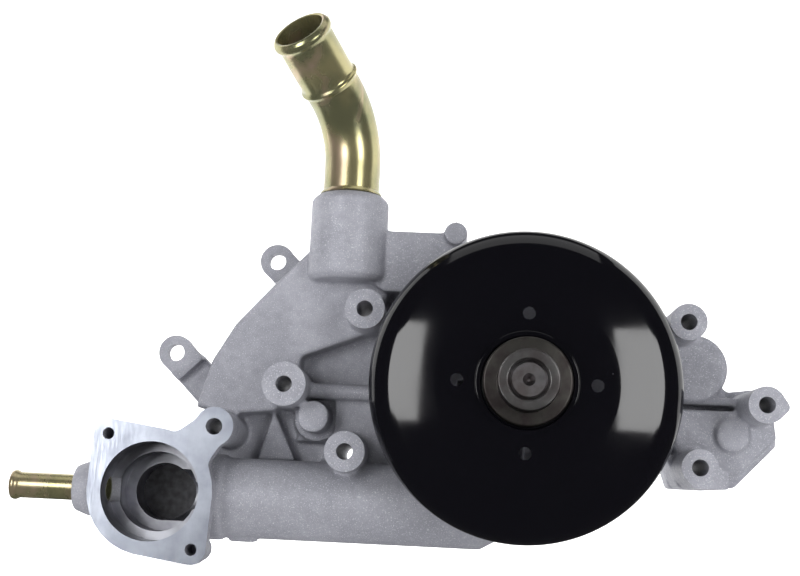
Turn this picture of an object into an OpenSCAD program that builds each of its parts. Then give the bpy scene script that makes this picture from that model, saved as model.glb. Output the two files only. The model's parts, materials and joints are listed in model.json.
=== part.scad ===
// Engine water pump: a cast housing with a shaft bearing, seal, impeller, hub and belt pulley,
// an angled hose outlet tube, a heater nipple and an open thermostat pocket.
// The frame's origin is on the shaft axis, in the plane of the pads that bolt to the engine block.
// The shaft runs along Y and the pulley faces -Y. Heights are measured from the block pads
// towards the pulley, so a height h lies at y = -h.

/* [Block bolts] */
// Half the distance between the two upper block bolts
bolt_top_x = 88; // [86:1:106]
// Height of the upper block bolts over the shaft
bolt_top_z = 40; // [36:1:48]
// Half the distance between the two outer block bolts
bolt_side_x = 130; // [120:1:156]
// Level of the outer block bolts relative to the shaft
bolt_side_z = -3; // [-6:1:6]
// Half the distance between the two lower block bolts
bolt_low_x = 95; // [92:1:114]
// Level of the lower block bolts relative to the shaft
bolt_low_z = -38; // [-44:1:-32]
// Diameter of the holes for the block bolts
bolt_hole_d = 9; // [7:0.5:11]
// Diameter of the bosses round the block bolts
bolt_boss_d = 22; // [18:0.5:26]
// Height of the bolt bosses over the block pads
boss_height = 75; // [62:1:90]
// Thickness of the two flanges that carry the block pads
pad_thickness = 15; // [10:1:20]
// Diameter of each coolant port in the pads
port_d = 18; // [14:1:20]

/* [Shaft and bearing] */
// Diameter of the shaft
shaft_d = 19; // [15:0.5:20]
// Outer diameter of the bearing
bearing_od = 38.1; // [37:0.1:46]
// Length of the bearing's outer ring
bearing_length = 42; // [35:1:42]
// Wall of the housing round the bearing
snout_wall = 6; // [4:0.5:10]
// Diameter of the bearing balls
ball_d = 6.8; // [5.6:0.1:7]
// Diameter of the bearing rollers
roller_d = 6; // [5:0.1:6.2]
// Length of the bearing rollers
roller_length = 9; // [7:0.5:11]

/* [Pulley and hub] */
// Largest diameter of the pulley
pulley_d = 165; // [137:1:170]
// Diameter of the flat middle of the pulley
pulley_flat_d = 90; // [84:1:100]
// Depth of the domed shoulder between the flat middle and the rim
pulley_dome = 18; // [12:1:21]
// Thickness of the pulley's sheet metal
pulley_wall = 3; // [2:0.5:4]
// Circle of the four holes in the pulley
pulley_hole_pcd = 72; // [66:1:78]
// Diameter of the four holes in the pulley
pulley_hole_d = 6.7; // [5:0.1:8.5]
// Diameter of the hub's shoulder
hub_d = 46; // [42:1:52]
// Diameter of the hub's nose
nose_d = 31.4; // [26:0.1:37]
// Height of the hub's shoulder over the pulley's face
hub_rise = 8; // [5:1:10]
// Length of the hub's nose
nose_length = 11; // [8:1:14]

/* [Impeller chamber] */
// Diameter of the impeller
impeller_d = 84; // [70:1:86]
// Depth of the impeller chamber
chamber_depth = 16; // [14:1:16]
// Clearance round the impeller
impeller_gap = 2; // [1:0.5:3]
// Thickness of the rear cover plate
cover_t = 4; // [2.5:0.5:5]

/* [Thermostat pocket] */
// Distance of the thermostat pocket from the shaft, to the left
thermostat_x = 198; // [190:1:230]
// Distance of the thermostat pocket below the shaft
thermostat_drop = 64; // [60:1:70]
// Height of the thermostat flange over the block pads
thermostat_face = 80; // [76:1:88]
// Diameter of the pocket's mouth
mouth_d = 53; // [44:1:64]
// Depth of the pocket's mouth
mouth_depth = 21; // [17:1:25]
// Metal between the mouth and the flange's edge
mouth_margin = 7.5; // [6:0.5:10]
// Circle of the two flange bolts
flange_pcd = 77; // [76:1:96]
// Diameter of the two flange bolt holes
flange_hole_d = 6.4; // [5:0.1:8]

/* [Suction pipe] */
// Outer diameter of the cast suction pipe
suction_d = 44; // [38:1:44]
// Inner diameter of the cast suction pipe
suction_bore = 30; // [24:1:32]

/* [Outlet tube] */
// Distance of the outlet tube from the shaft, to the left
tube_x = 101; // [98:1:125]
// Height of the outlet tube's axis over the block pads
tube_h = 50; // [46:1:54]
// Outer diameter of the outlet tube
tube_d = 32; // [27:0.5:35]
// Wall of the outlet tube
tube_wall = 2; // [1.5:0.25:3]
// Bend radius of the tube's middle line
tube_bend_r = 50; // [42:1:60]
// Angle of the tube's bend
tube_bend = 53; // [35:1:70]
// Angle that the bend turns away from straight ahead, to the left
tube_heading = 33; // [0:1:60]
// Straight length of the tube after its bend
tube_spigot = 43; // [36:1:52]
// Diameter of the cast socket that holds the tube
socket_d = 44; // [42:1:50]
// Level of the socket's top over the shaft
socket_top = 108; // [104:1:120]

/* [Heater nipple] */
// Outer diameter of the heater nipple
nipple_d = 14; // [11:0.5:17]
// Length of the nipple that stands out of its boss
nipple_length = 36; // [28:1:44]

/* [Hidden] */
$fn = 64;
fit_gap = 0.05;          // radial clearance of a pressed or seated part
run_gap = 0.03;          // radial clearance of rolling parts
part_gap = 0.4;          // gap between parts that move past each other
cut = 1;                 // how far a cutting shape runs past a face

// Suction pipe
suction_r = suction_d / 2;
suction_h = 46;
suction_z = -thermostat_drop - 1.5;

// Belt grooves in the pulley's rim
rib_pitch = 3.56;
rib_count = 6;
rib_depth = 2.4;
flange_w = 1.4;
rim_w = rib_count * rib_pitch + 2 * flange_w;
rim_clearance = 1.5;     // least gap between the rim and the suction pipe behind it

// Heights of the faces along the shaft
cover_seat = 12;
gasket_t = 0.8;
chamber_front = cover_seat + chamber_depth;
seal_seat = 44;
bearing_rear = 64;
bearing_front = bearing_rear + bearing_length;
web_front = max(
    bearing_front + 3 + pulley_wall,
    suction_h + suction_r + rim_clearance + rim_w + pulley_dome
);
web_back = web_front - pulley_wall;
shoulder_front = web_front + hub_rise;
nose_front = shoulder_front + nose_length;

// Impeller chamber and cover
chamber_r = impeller_d / 2 + impeller_gap;
cover_bolt_count = 8;
cover_bolt_d = 6;
cover_bolt_circle = chamber_r + 9;
cover_r = cover_bolt_circle + 6;
centre_r = cover_r + 2;
eye_r = 22;
impeller_hub_r = shaft_d / 2 + 4;

// Bearing
bearing_r = bearing_od / 2;
shaft_r = shaft_d / 2;
ball_dip = 0.8;
ball_pitch = shaft_r - ball_dip + ball_d / 2 + run_gap;
ball_track = ball_pitch + ball_d / 2 + run_gap;
ball_count = 8;
roller_pitch = shaft_r + roller_d / 2 + run_gap;
roller_track = roller_pitch + roller_d / 2 + run_gap;
roller_count = 9;
ring_bore_r = max(ball_track, roller_track) - ball_dip;
ball_h = bearing_rear + bearing_length * 0.28;
roller_h = bearing_rear + bearing_length * 0.7;
cage_t = 1.4;
seal_t = 2;

// Pulley rim
pulley_r = pulley_d / 2;
corner_w = (pulley_r - pulley_flat_d / 2) * 0.36;    // width of the rounded corner at the rim
corner_start = 17.6;     // angle on the corner's ellipse where it meets the cone
corner_steps = 12;
cone_drop = pulley_dome * 0.255;                     // how far the cone falls before the corner
rim_front = web_front - pulley_dome;
rim_back = rim_front - rim_w;
rim_floor = pulley_r - 1 - rib_depth;

// Ports in each pad, as distances outwards and upwards from the shaft
upper_port = [bolt_top_x + 12, bolt_top_z - 22];
lower_port = [bolt_low_x + 24, bolt_low_z + 17];

// Thermostat pocket
pocket = [-thermostat_x, -thermostat_drop];
mouth_r = mouth_d / 2;
step_d = mouth_d - 9.5;
outlet_d = step_d - 11.5;
step_depth = 17;
flange_t = 10;
flange_lug_r = 8;
flange_angle = 129.5;
flange_hole_depth = 20;
pocket_floor = 24;
body_r = mouth_r + mouth_margin - 2.5;
eye_at = pocket + [mouth_r + 6, mouth_r + 9.5];
eye_lug_r = 10.5;
eye_hole_d = 9;

// Cast body
crest_z = 88;
shell_h = 48;
panel_h = 32;
duct_h = 55;
duct_z = 57;
rib_z = bolt_side_z - 1;
rib_w = 9;
leg_floor = 24;
socket_bottom = 58;
outlet_h = 20;
outlet_channel_d = 12;
ear_hole_d = 10;
ear_r = 10;
ear_from = 22;
ear_to = 30;

// Outlet tube
tube_r = tube_d / 2;
tube_bottom = socket_top - 24;
bend_start = socket_top + 17;
bead_rise = 1.5;
ring_at = 7.5;
tube_bore_r = tube_r - tube_wall;
bend_draw = 0.02;        // how much the bend draws in against the straight lengths
tube_lap = 0.5;          // how far each straight length laps the bend

// Heater nipple
nipple_h = 62;
nipple_r = nipple_d / 2;
nipple_wall = 1.5;
nipple_boss_r = nipple_r + 8;
nipple_boss_x = thermostat_x + body_r + 13;
nipple_inner_x = thermostat_x + mouth_r + 0.1;
nipple_tip_x = nipple_boss_x + nipple_length;

// Seal
seal_bore_r = shaft_r + 8.5;
seal_case_depth = 13;

aluminium = [0.66, 0.67, 0.70];
zinc = [0.62, 0.60, 0.42];
black = [0.06, 0.06, 0.07];
steel = [0.55, 0.56, 0.55];
dark_steel = [0.30, 0.30, 0.29];
rubber = [0.08, 0.08, 0.08];
carbon = [0.18, 0.18, 0.19];
ceramic = [0.90, 0.89, 0.85];

// ---- Helpers ----

// Extrudes an outline drawn in X and Z between two heights over the block pads.
module slab(from, to) {
    translate([0, -from, 0])
        rotate([90, 0, 0])
            linear_extrude(to - from)
                children();
}

// A round post along the shaft's direction.
module post(at, d, from, to) {
    translate([at[0], -from, at[1]])
        rotate([90, 0, 0])
            cylinder(d = d, h = to - from);
}

// A solid turned about the shaft, from points of radius and height.
module turned(points) {
    rotate([90, 0, 0])
        rotate_extrude($fn = 96)
            polygon(points);
}

// A plain ring about the shaft.
module ring(inner, outer, from, to) {
    turned([[inner, from], [outer, from], [outer, to], [inner, to]]);
}

// Rounds the outer and inner corners of an outline.
module soften(r) {
    offset(r = -r, $fn = 32)
        offset(delta = 2 * r)
            offset(r = -r, $fn = 32)
                children();
}

// Repeats its children on both sides of the shaft.
module both_sides() {
    children();
    mirror([1, 0, 0])
        children();
}

function around(r, i, count) = [r * cos(360 * i / count), r * sin(360 * i / count)];

function bolts() = [[bolt_top_x, bolt_top_z], [bolt_side_x, bolt_side_z], [bolt_low_x, bolt_low_z]];

// ---- Housing outlines ----

// One block pad, right side, drawn in from its edge by the inset.
module pad_outline(inset) {
    offset(r = 2, $fn = 24)
        offset(delta = -inset - 2)
            polygon([
                [bolt_top_x - 20, bolt_top_z - 42],
                [bolt_top_x - 13, bolt_top_z + 8],
                [bolt_top_x + 9, bolt_top_z + 9],
                [upper_port[0] + 14, upper_port[1] + 10],
                [upper_port[0] + 16, upper_port[1] - 6],
                [bolt_side_x - 9, bolt_side_z + 11],
                [bolt_side_x + 5, bolt_side_z + 13],
                [bolt_side_x + 16, bolt_side_z + 5],
                [bolt_side_x + 19, bolt_low_z + 16],
                [bolt_low_x + 30, bolt_low_z - 9],
                [bolt_low_x - 7, bolt_low_z - 11],
                [bolt_low_x - 12, bolt_low_z + 4]
            ]);
}

// The upper left chamber, between the socket, the pads and the thermostat pocket.
module shell_outline() {
    soften(4)
        polygon([
            [-60, crest_z],
            [-60, duct_z + 4],
            [12 - bolt_top_x, duct_z + 1],
            [6 - bolt_top_x, bolt_top_z - 8],
            [-bolt_top_x - 6, bolt_top_z - 13],
            [5 - bolt_side_x, bolt_side_z + 18],
            [5 - bolt_side_x, bolt_side_z + 3],
            [-bolt_side_x - 8, bolt_side_z - 13],
            eye_at + [4, 9],
            eye_at + [-17, 12],
            [-bolt_side_x - 49.4, bolt_side_z - 2],
            [-bolt_side_x - 45, bolt_side_z + 14],
            [-bolt_side_x - 33, bolt_side_z + 35],
            [-bolt_side_x - 12, bolt_side_z + 59],
            [-tube_x - 24, crest_z - 14],
            [-tube_x - 10, crest_z]
        ]);
}

// The low floor that ties the left leg to the suction pipe.
module floor_outline() {
    soften(4)
        polygon([
            [-30, 40],
            [-bolt_side_x - 30, 20],
            eye_at + [-6, 4],
            pocket + [20, 6],
            [-30, suction_z]
        ]);
}

// The face of the thermostat flange.
module flange_outline() {
    offset(r = -6, $fn = 32)
        offset(delta = 6)
            union() {
                hull() {
                    translate(pocket)
                        circle(r = mouth_r + mouth_margin);
                    for (side = [0, 180])
                        translate(flange_hole(side))
                            circle(r = flange_lug_r, $fn = 32);
                }
                translate(eye_at)
                    circle(r = eye_lug_r);
                polygon([eye_at + [-8, 5], eye_at + [5, -8], pocket + [mouth_r, 10], pocket + [5, mouth_r]]);
            }
}

function flange_hole(side) =
    pocket + flange_pcd / 2 * [cos(flange_angle + side), sin(flange_angle + side)];

// A right-hand boss, drawn out to a soft corner.
module right_boss_outline(at, corner) {
    hull() {
        translate(at)
            circle(d = bolt_boss_d - 2, $fn = 48);
        translate(at + corner)
            circle(r = 3, $fn = 24);
    }
}

// ---- Housing ----

module housing_centre() {
    post([0, 0], 2 * centre_r, cover_seat, seal_seat + 4);
    post([0, 0], bearing_od + 2 * snout_wall + 12, seal_seat, seal_seat + 10);
    turned([
        [0, seal_seat], [bearing_r + snout_wall + 3, seal_seat],
        [bearing_r + snout_wall, bearing_front - 1], [0, bearing_front - 1]
    ]);
    // Stiffening ribs round the bearing
    for (i = [0:5])
        rotate([0, 60 * i, 0])
            translate([bearing_r + 2, -(bearing_front - 14), -2])
                cube([snout_wall + 9, bearing_length + 2, 4]);
}

module housing_legs() {
    both_sides()
        slab(0, pad_thickness)
            pad_outline(0);
    // Arms between the pads and the middle
    both_sides()
        slab(10, 31)
            soften(3)
                polygon([
                    [20, bolt_top_z - 4], [upper_port[0] + 8, bolt_top_z - 6],
                    [lower_port[0] + 8, bolt_low_z + 6], [20, bolt_low_z + 4]
                ]);
    // Right upper bulge over its port
    post([upper_port[0] - 4, upper_port[1]], port_d + 20, 12, 45);
    slab(12, 45)
        polygon([
            [30, upper_port[1] + 17], [upper_port[0] - 4, upper_port[1] + 18],
            [upper_port[0] - 4, bolt_side_z + 4], [30, bolt_side_z + 4]
        ]);
    // Ledge from the bulge to the outer boss
    slab(12, 42)
        translate([30, bolt_side_z + 1])
            square([bolt_side_x - 32, 4.4]);
    // Right lower body inside the step of the flange
    slab(12, 45)
        intersection() {
            pad_outline(6.5);
            translate([0, bolt_low_z - 20])
                square([bolt_side_x + 20, bolt_side_z - bolt_low_z + 18]);
        }
    post([bolt_low_x + 22.7, bolt_side_z - 15.5], 19, 30, 48);
    for (at = bolts()) {
        post([-at[0], at[1]], at[0] == bolt_side_x ? bolt_boss_d + 2 : bolt_boss_d, 0, boss_height);
    }
    slab(0, boss_height)
        right_boss_outline([bolt_top_x, bolt_top_z], [7, -1]);
    slab(0, boss_height)
        right_boss_outline([bolt_side_x, bolt_side_z], [9, -1]);
    slab(0, boss_height)
        union() {
            translate([bolt_low_x, bolt_low_z])
                circle(d = bolt_boss_d - 2, $fn = 48);
            translate([bolt_low_x - 4, bolt_low_z - bolt_boss_d / 2])
                square([bolt_boss_d - 3, 10]);
        }
    // Side web of the lower right leg
    slab(10, 40)
        polygon([
            [bolt_low_x - 14, bolt_low_z + 8], [bolt_low_x, bolt_low_z + 8],
            [bolt_low_x, bolt_low_z - 10], [bolt_low_x - 6, bolt_low_z - 10]
        ]);
}

module housing_left() {
    slab(10, shell_h)
        shell_outline();
    slab(10, leg_floor)
        floor_outline();
    // Recessed panel beside the pulley
    slab(10, panel_h)
        translate([-bolt_side_x, bolt_side_z - 2])
            square([bolt_side_x - 30, duct_z - bolt_side_z + 8]);
    // Rib from the outer boss to the middle
    slab(10, shell_h - 2)
        translate([-bolt_side_x, rib_z - rib_w / 2 + 0.5])
            square([bolt_side_x - 30, rib_w - 1]);
    translate([-bolt_side_x, -(shell_h - 2), rib_z])
        rotate([0, 90, 0])
            cylinder(d = rib_w, h = bolt_side_x - 30);
    // Surface under the rib
    slab(10, 42)
        soften(3)
            polygon([
                [-bolt_low_x - 9, rib_z - 3], [-30, rib_z - 3],
                [-30, suction_z], [-bolt_low_x - 20, suction_z + 12],
                [-bolt_low_x - 9, bolt_low_z + 14]
            ]);
    post([-bolt_low_x - 20, bolt_side_z - 16], 17.5, 12, 58);
    post([-bolt_low_x - 20, bolt_side_z - 16], 26, 12, 36);
    slab(10, 34)
        polygon([
            [-bolt_side_x - 10, bolt_side_z - 12], [-bolt_side_x + 4, suction_z + 22],
            [-bolt_side_x - 18, suction_z + 22]
        ]);
    // Duct from the socket along the crest
    slab(10, duct_h)
        soften(4)
            polygon([
                [-tube_x + 8, crest_z], [-36, crest_z], [-36, duct_z],
                [-60, duct_z - 4], [9 - bolt_top_x, duct_z - 4], [-tube_x + 8, duct_z + 5]
            ]);
    // Small boss at the end of the crest
    post([-40, crest_z - 1], 13, 12, 60);
    // Socket for the outlet tube
    translate([-tube_x, -tube_h, socket_bottom])
        rotate_extrude($fn = 96)
            polygon([
                [0, 0], [socket_d / 2 - 3, 0], [socket_d / 2, 3],
                [socket_d / 2, socket_top - socket_bottom - 4],
                [socket_d / 2 - 4, socket_top - socket_bottom], [0, socket_top - socket_bottom]
            ]);
    // Metal under the socket
    slab(12, shell_h - 1.5)
        translate([-tube_x - socket_d / 2 + 2, socket_bottom - 20])
            square([socket_d - 4, socket_top - socket_bottom]);
    ear([-bolt_side_x - 14, bolt_side_z + 75], 22, 0);
    ear([-bolt_side_x - 70, bolt_side_z + 19], 28, 14);
}

// A bracket ear that reaches down and inwards to the shell.
module ear(at, reach, block) {
    translate([at[0], 0, at[1]])
        rotate([0, 45, 0]) {
            slab(ear_from, ear_to) {
                circle(r = ear_r);
                translate([0, 0.3 - ear_r])
                    square([reach - block, 2 * ear_r - 0.6]);
            }
            slab(ear_from - 8, ear_to - 4)
                translate([reach - block - 4, -ear_r])
                    square([block + 12, 2 * ear_r]);
        }
}

module housing_thermostat() {
    slab(thermostat_face - flange_t, thermostat_face)
        flange_outline();
    post(pocket, 2 * body_r, pocket_floor - 6, thermostat_face - flange_t + cut);
    post(eye_at, 2 * eye_lug_r - 1, 14, thermostat_face - cut);
    for (side = [0, 180])
        post(flange_hole(side), 2 * flange_lug_r - 2, thermostat_face - flange_hole_depth - 6,
            thermostat_face - cut);
    // Suction pipe and the collar where it leaves the pocket
    translate([-thermostat_x, -suction_h, suction_z])
        rotate([0, 90, 0])
            cylinder(r = suction_r, h = thermostat_x - 20);
    translate([-thermostat_x + 10, -suction_h, suction_z])
        rotate([0, 90, 0])
            cylinder(r = suction_r + 1.6, h = body_r - 6);
    translate([-20, -suction_h, suction_z])
        rotate([0, 90, 0])
            cylinder(r1 = suction_r, r2 = suction_r - 8, h = 14);
    slab(suction_h - 12, suction_h + 4)
        translate([14 - thermostat_x + body_r - 6, suction_z - suction_r - 2])
            square([14, 12]);
    // Wall round the rising suction channel
    slab(cover_seat + 2, seal_seat + 8)
        soften(4)
            polygon([[-36, 0], [-30, suction_z - 14], [16, suction_z - 4], [30, 0]]);
    // Nipple boss
    translate([-nipple_boss_x, -nipple_h, -thermostat_drop])
        rotate([0, 90, 0])
            cylinder(r1 = nipple_boss_r - 3, r2 = nipple_boss_r, h = 8);
    translate([8 - nipple_boss_x, -nipple_h, -thermostat_drop])
        rotate([0, 90, 0])
            cylinder(r = nipple_boss_r, h = 20);
}

module block_bolt_holes() {
    for (at = bolts(), side = [-1, 1])
        post([side * at[0], at[1]], bolt_hole_d, -cut, boss_height + cut);
}

module shaft_bores() {
    post([0, 0], 2 * cover_r + 1, -cut, cover_seat);
    post([0, 0], 2 * chamber_r, cover_seat - cut, chamber_front);
    post([0, 0], 2 * eye_r, chamber_front - cut, seal_seat);
    post([0, 0], 2 * seal_bore_r, seal_seat - cut, seal_seat + seal_case_depth);
    post([0, 0], shaft_d + 6, seal_seat, bearing_rear + cut);
    post([0, 0], bearing_od + 2 * fit_gap, bearing_rear, bearing_front + cut);
    for (i = [0:cover_bolt_count - 1])
        post(around(cover_bolt_circle, i + 0.5, cover_bolt_count), cover_bolt_d + 2 * fit_gap,
            cover_seat - cut, cover_seat + 14);
    // Weep hole under the shaft, between the seal and the bearing
    translate([0, -(bearing_rear - 3), -bearing_r - snout_wall - 20])
        cylinder(d = 4, h = bearing_r + snout_wall + 20);
}

module coolant_passages() {
    both_sides() {
        post(upper_port, port_d, -cut, 29);
        post(lower_port, port_d, -cut, 29);
        slab(14, 27)
            translate([chamber_r - 12, upper_port[1] - 7])
                square([upper_port[0] - chamber_r + 12, 14]);
        slab(14, 27)
            translate([chamber_r - 14, lower_port[1] - 7])
                square([lower_port[0] - chamber_r + 14, 14]);
    }
    // Outlet channel from the left leg up to the socket
    translate([-upper_port[0] - 5, -outlet_h, upper_port[1]])
        cylinder(d = outlet_channel_d, h = socket_bottom + 14 - upper_port[1]);
    post([-upper_port[0] - 5, socket_bottom + 10], outlet_channel_d + 1, outlet_h, tube_h);
    translate([-tube_x, -tube_h, socket_bottom + 6])
        cylinder(r = tube_bore_r, h = socket_top - socket_bottom);
    translate([-tube_x, -tube_h, tube_bottom])
        cylinder(r = tube_r + fit_gap, h = socket_top - tube_bottom + cut);
}

module suction_passages() {
    post(pocket, mouth_d, thermostat_face - mouth_depth, thermostat_face + cut);
    post(pocket, step_d, thermostat_face - mouth_depth - step_depth, thermostat_face - mouth_depth + cut);
    post(pocket, outlet_d, pocket_floor, thermostat_face - mouth_depth - step_depth + cut);
    for (side = [0, 180])
        post(flange_hole(side), flange_hole_d, thermostat_face - flange_hole_depth, thermostat_face + cut);
    post(eye_at, eye_hole_d, 14 - cut, thermostat_face + cut);
    translate([-thermostat_x, -suction_h, suction_z])
        rotate([0, 90, 0])
            cylinder(d = suction_bore, h = thermostat_x);
    slab(chamber_front + 3, seal_seat - 1)
        translate([-13, suction_z])
            square([26, -suction_z]);
    translate([-nipple_boss_x - cut, -nipple_h, -thermostat_drop])
        rotate([0, 90, 0])
            cylinder(r = nipple_r + fit_gap, h = nipple_boss_x - thermostat_x + cut);
}

module pump_housing() {
    color(aluminium)
        difference() {
            union() {
                housing_centre();
                housing_legs();
                housing_left();
                housing_thermostat();
            }
            block_bolt_holes();
            shaft_bores();
            coolant_passages();
            suction_passages();
            for (ear_hole = [[-bolt_side_x - 14, bolt_side_z + 75], [-bolt_side_x - 70, bolt_side_z + 19]])
                post(ear_hole, ear_hole_d, 0, ear_to + cut);
        }
}

// ---- Rear cover ----

module cover_disc(from, to, hole_d) {
    slab(from, to)
        difference() {
            circle(r = cover_r, $fn = 96);
            for (i = [0:cover_bolt_count - 1])
                translate(around(cover_bolt_circle, i + 0.5, cover_bolt_count))
                    circle(d = hole_d, $fn = 32);
        }
}

module rear_cover_plate() {
    color(steel)
        union() {
            cover_disc(cover_seat - gasket_t - cover_t, cover_seat - gasket_t, cover_bolt_d + 0.6);
            // Pressed stiffening ring
            ring(16, 30, cover_seat - gasket_t - cover_t - 1.5, cover_seat - gasket_t - cover_t);
        }
}

module rear_cover_gasket() {
    color(rubber)
        difference() {
            cover_disc(cover_seat - gasket_t, cover_seat, cover_bolt_d + 0.6);
            post([0, 0], 2 * chamber_r + 2, 0, chamber_front);
        }
}

module cover_bolt(number) {
    at = around(cover_bolt_circle, number - 0.5, cover_bolt_count);
    head_from = cover_seat - gasket_t - cover_t;
    color(steel)
        union() {
            post(at, cover_bolt_d, head_from - 1, cover_seat + 13);
            post(at, 2 * cover_bolt_d, head_from - 1, head_from);
            translate([at[0], -(head_from - 4.5), at[1]])
                rotate([90, 0, 0])
                    cylinder(d = 11, h = 3.5 + 0.01, $fn = 6);
        }
}

// ---- Outlet tube and heater nipple ----

// Places its children at the end of the tube's bend, pointing along the spigot.
module at_bend_end() {
    translate([-tube_x, -tube_h, bend_start])
        rotate([0, 0, -90 - tube_heading])
            translate([tube_bend_r, 0, 0])
                rotate([0, tube_bend, 0])
                    translate([-tube_bend_r, 0, 0])
                        children();
}

module tube_solid(r, bottom, extra) {
    translate([-tube_x, -tube_h, bottom])
        cylinder(r = r, h = bend_start - bottom + tube_lap);
    translate([-tube_x, -tube_h, bend_start])
        rotate([0, 0, -90 - tube_heading])
            translate([tube_bend_r, 0, 0])
                rotate([90, 0, 180])
                    rotate_extrude(angle = tube_bend, $fn = 96)
                        translate([tube_bend_r, 0])
                            circle(r = r - bend_draw, $fn = 48);
    at_bend_end()
        translate([0, 0, -tube_lap])
            cylinder(r = r, h = tube_spigot + extra + tube_lap);
}

// A rounded raised ring on the spigot.
module bead(at, rise, width) {
    at_bend_end()
        translate([0, 0, at])
            rotate_extrude($fn = 96)
                polygon([
                    [tube_r - 0.5, -width / 2], [tube_r, -width / 2], [tube_r + rise, -width / 5],
                    [tube_r + rise, width / 5], [tube_r, width / 2], [tube_r - 0.5, width / 2]
                ]);
}

module outlet_tube() {
    color(zinc)
        difference() {
            union() {
                tube_solid(tube_r, tube_bottom, 0);
                bead(ring_at, bead_rise, 3);
                bead(tube_spigot - 3.5, bead_rise, 5);
                translate([-tube_x, -tube_h, socket_top])
                    cylinder(r1 = tube_r + 1.8, r2 = tube_r, h = 3);
            }
            tube_solid(tube_bore_r, tube_bottom - cut, cut);
        }
}

module heater_nipple() {
    color(zinc)
        translate([-nipple_inner_x, -nipple_h, -thermostat_drop])
            rotate([0, -90, 0])
                rotate_extrude($fn = 96)
                    polygon([
                        [nipple_r - nipple_wall, 0], [nipple_r, 0],
                        [nipple_r, nipple_tip_x - nipple_inner_x - 4],
                        [nipple_r + 1, nipple_tip_x - nipple_inner_x - 3],
                        [nipple_r + 1, nipple_tip_x - nipple_inner_x - 1],
                        [nipple_r, nipple_tip_x - nipple_inner_x],
                        [nipple_r - nipple_wall, nipple_tip_x - nipple_inner_x]
                    ]);
}

// ---- Bearing ----

module bearing_outer_ring() {
    color(steel)
        difference() {
            ring(ring_bore_r, bearing_r, bearing_rear, bearing_front);
            rotate([90, 0, 0])
                rotate_extrude($fn = 96)
                    translate([ball_pitch, ball_h])
                        circle(r = ball_d / 2 + run_gap, $fn = 48);
            post([0, 0], 2 * roller_track, roller_h - roller_length / 2 - 0.5,
                roller_h + roller_length / 2 + 0.5);
            ring_seat(bearing_rear - cut, bearing_rear + seal_t + 0.5);
            ring_seat(bearing_front - seal_t - 0.5, bearing_front + cut);
        }
}

module ring_seat(from, to) {
    post([0, 0], 2 * ring_bore_r + 2, from, to);
}

module lip_seal(from) {
    color(rubber)
        ring(shaft_r + part_gap, ring_bore_r + 1 - fit_gap, from, from + seal_t);
}

module bearing_shaft() {
    color(steel)
        difference() {
            turned([
                [0, cover_seat + 2], [shaft_r - 1, cover_seat + 2], [shaft_r, cover_seat + 3],
                [shaft_r, nose_front - 1.6], [shaft_r - 1, nose_front - 0.6], [0, nose_front - 0.6]
            ]);
            rotate([90, 0, 0])
                rotate_extrude($fn = 96)
                    translate([ball_pitch, ball_h])
                        circle(r = ball_d / 2 + run_gap, $fn = 48);
            // Centre drilling
            translate([0, -(nose_front - 0.6) + 4, 0])
                rotate([90, 0, 0])
                    cylinder(r1 = 0.8, r2 = 3.2, h = 4.01);
        }
}

module ball(number) {
    at = around(ball_pitch, number - 1, ball_count);
    color(steel)
        translate([at[0], -ball_h, at[1]])
            sphere(d = ball_d);
}

module roller(number) {
    at = around(roller_pitch, number - 1, roller_count);
    color(steel)
        post(at, roller_d, roller_h - roller_length / 2, roller_h + roller_length / 2);
}

module ball_cage() {
    color(steel)
        difference() {
            ring(ball_pitch - cage_t / 2, ball_pitch + cage_t / 2, ball_h - ball_d / 2 - 1.2,
                ball_h + ball_d / 2 + 1.2);
            for (i = [0:ball_count - 1])
                rotate([0, -360 * i / ball_count, 0])
                    translate([ball_pitch - 4, -ball_h, 0])
                        rotate([0, 90, 0])
                            cylinder(d = ball_d + 0.4, h = 8);
        }
}

module roller_cage() {
    half = roller_length / 2 + 0.4;
    color(steel)
        difference() {
            ring(roller_pitch - cage_t / 2, roller_pitch + cage_t / 2, roller_h - half - 1.2,
                roller_h + half + 1.2);
            for (i = [0:roller_count - 1])
                post(around(roller_pitch, i, roller_count), roller_d + 0.4, roller_h - half, roller_h + half);
        }
}

// ---- Shaft seal ----

module seal_case() {
    from = seal_seat;
    to = seal_seat + seal_case_depth;
    color(steel)
        turned([
            [shaft_r + 3.5, to - 1.2], [seal_bore_r - fit_gap - 1.2, to - 1.2],
            [seal_bore_r - fit_gap - 1.2, from + 1.2], [seal_bore_r - fit_gap, from],
            [seal_bore_r - fit_gap, to], [shaft_r + 3.5, to]
        ]);
}

module seal_carbon_ring() {
    color(carbon)
        ring(shaft_r + 1, shaft_r + 5, seal_seat - 4, seal_seat - 0.6);
}

module seal_bellows() {
    color(rubber)
        turned([
            [shaft_r + 1, seal_seat - 0.5], [shaft_r + 5, seal_seat - 0.5],
            [shaft_r + 3.2, seal_seat + 2], [shaft_r + 2.4, seal_seat + 5],
            [shaft_r + 3.2, seal_seat + seal_case_depth - 1.4],
            [shaft_r + 1, seal_seat + seal_case_depth - 1.4],
            [shaft_r + 1, seal_seat + 5]
        ]);
}

// Points of one wire ring of the spring, and the mesh that joins the rings.
spring_turns = 3;
spring_steps = 20;
spring_sides = 6;
spring_wire = 0.6;
spring_r = shaft_r + 5.4;
spring_from = seal_seat + 2;
spring_to = seal_seat + seal_case_depth - 2.2;
spring_rings = spring_turns * spring_steps;

function spring_point(i, j) =
    let(
        turn = 360 * i / spring_steps,
        side = 360 * j / spring_sides,
        r = spring_r + spring_wire * cos(side),
        h = spring_from + (spring_to - spring_from) * i / spring_rings + spring_wire * sin(side)
    )
    [r * cos(turn), -h, r * sin(turn)];

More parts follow.
